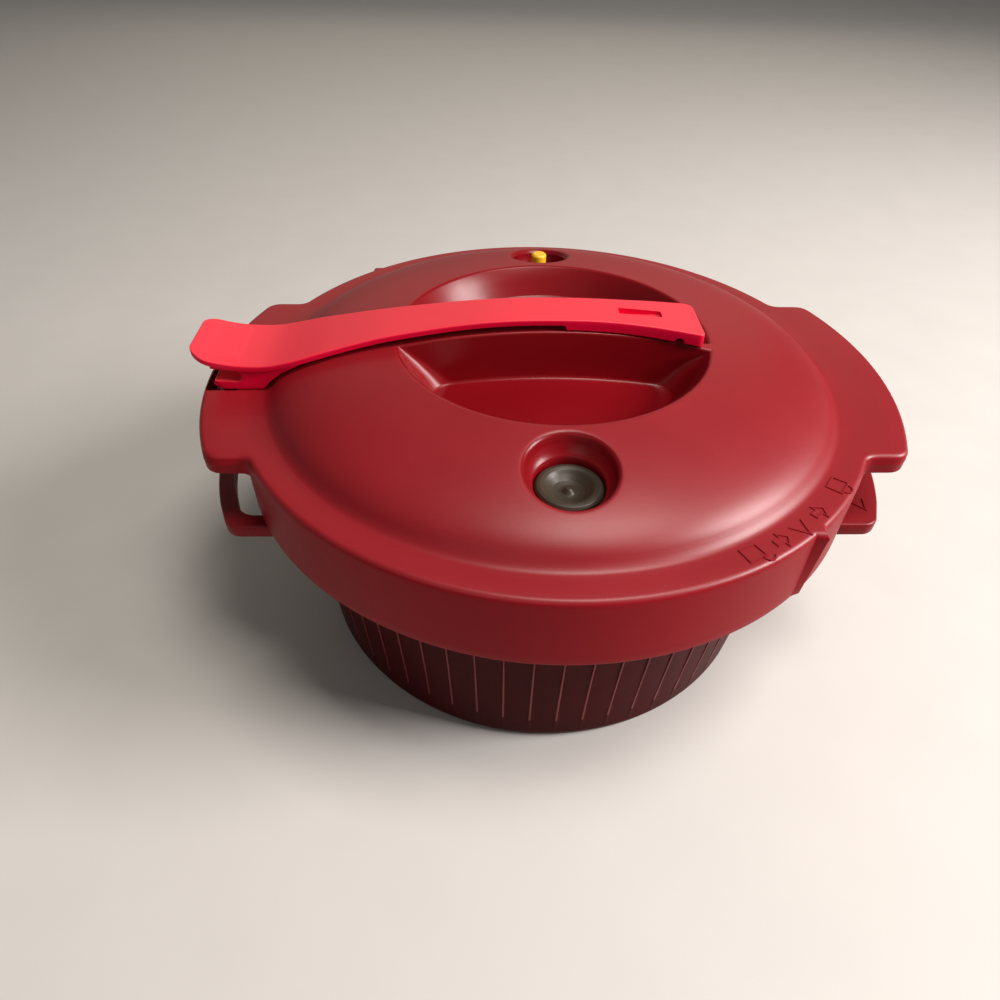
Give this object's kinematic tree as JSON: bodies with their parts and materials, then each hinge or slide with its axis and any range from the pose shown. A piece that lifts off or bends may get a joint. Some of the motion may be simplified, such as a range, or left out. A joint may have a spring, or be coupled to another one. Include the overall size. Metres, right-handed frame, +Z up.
{
  "type": "microwave pressure cooker",
  "caption": "Round microwave pressure cooker: ribbed bowl with side handles, bayonet lid with a long locking lever, relief valve in a dimple and pressure indicator.",
  "frame": {"origin": "centre of the bowl's flat underside", "axes": "+Z up; +X from the centre to the handle opposite the lever's hinge; -Y towards the relief valve"},
  "size_m": [0.2765, 0.247, 0.1403],
  "materials": {
    "bowl_plastic": "satin, slightly translucent",
    "lid_plastic": "fine matte, with polished recesses",
    "lever_plastic": "smooth satin",
    "knob_plastic": "satin",
    "indicator_plastic": "gloss",
    "silicone": "soft matte",
    "red_silicone": "soft matte",
    "nylon": "matte",
    "steel": "drawn wire"
  },
  "bodies": {
    "base": {"bowl": "bowl_plastic"},
    "seal_ring": {"lid_gasket": "silicone"},
    "lid": {"cover": "lid_plastic", "lever_pin": "steel", "regulator_housing": "nylon", "regulator_cap": "nylon", "regulator_seat": "red_silicone", "regulator_washer": "silicone", "regulator_nut": "nylon", "regulator_spring": "steel", "steam_guard": "nylon", "indicator_guide": "nylon", "indicator_nut": "nylon", "safety_plug": "red_silicone"},
    "lever": {"lever": "lever_plastic"},
    "lock_bolt": {"lock_bolt": "lever_plastic"},
    "relief_valve": {"regulator_knob": "knob_plastic", "regulator_stem": "steel"},
    "pressure_indicator": {"indicator_pin": "indicator_plastic", "indicator_seal": "red_silicone"}
  },
  "joints": [
    {"name": "lid_lift", "type": "slide", "parent": "base", "child": "seal_ring", "axis": [0, 0, 1], "range_m": [0, 0.07]},
    {"name": "lid_turn", "type": "hinge", "parent": "seal_ring", "child": "lid", "pos_m": [0, 0, 0.106], "axis": [0, 0, 1], "range_deg": [0, 29]},
    {"name": "lever_hinge", "type": "hinge", "parent": "lid", "child": "lever", "pos_m": [-0.1285, 0, 0.1106], "axis": [0, -1, 0], "range_deg": [0, 90]},
    {"name": "lock_bolt_slide", "type": "slide", "parent": "lid", "child": "lock_bolt", "axis": [0, 0, 1], "range_m": [0, 0.0046]},
    {"name": "relief_lift", "type": "slide", "parent": "lid", "child": "relief_valve", "axis": [0, 0, 1], "range_m": [0, 0.0025], "stiffness_N_per_m": 800, "springref_m": -0.004, "deforming": ["regulator_spring"]},
    {"name": "indicator_rise", "type": "slide", "parent": "lid", "child": "pressure_indicator", "axis": [0, 0, 1], "range_m": [0, 0.0048]}
  ],
  "couplings": [
    {"joint": "lock_bolt_slide", "follows": "lever_hinge", "m_per_rad": 0.0029}
  ]
}
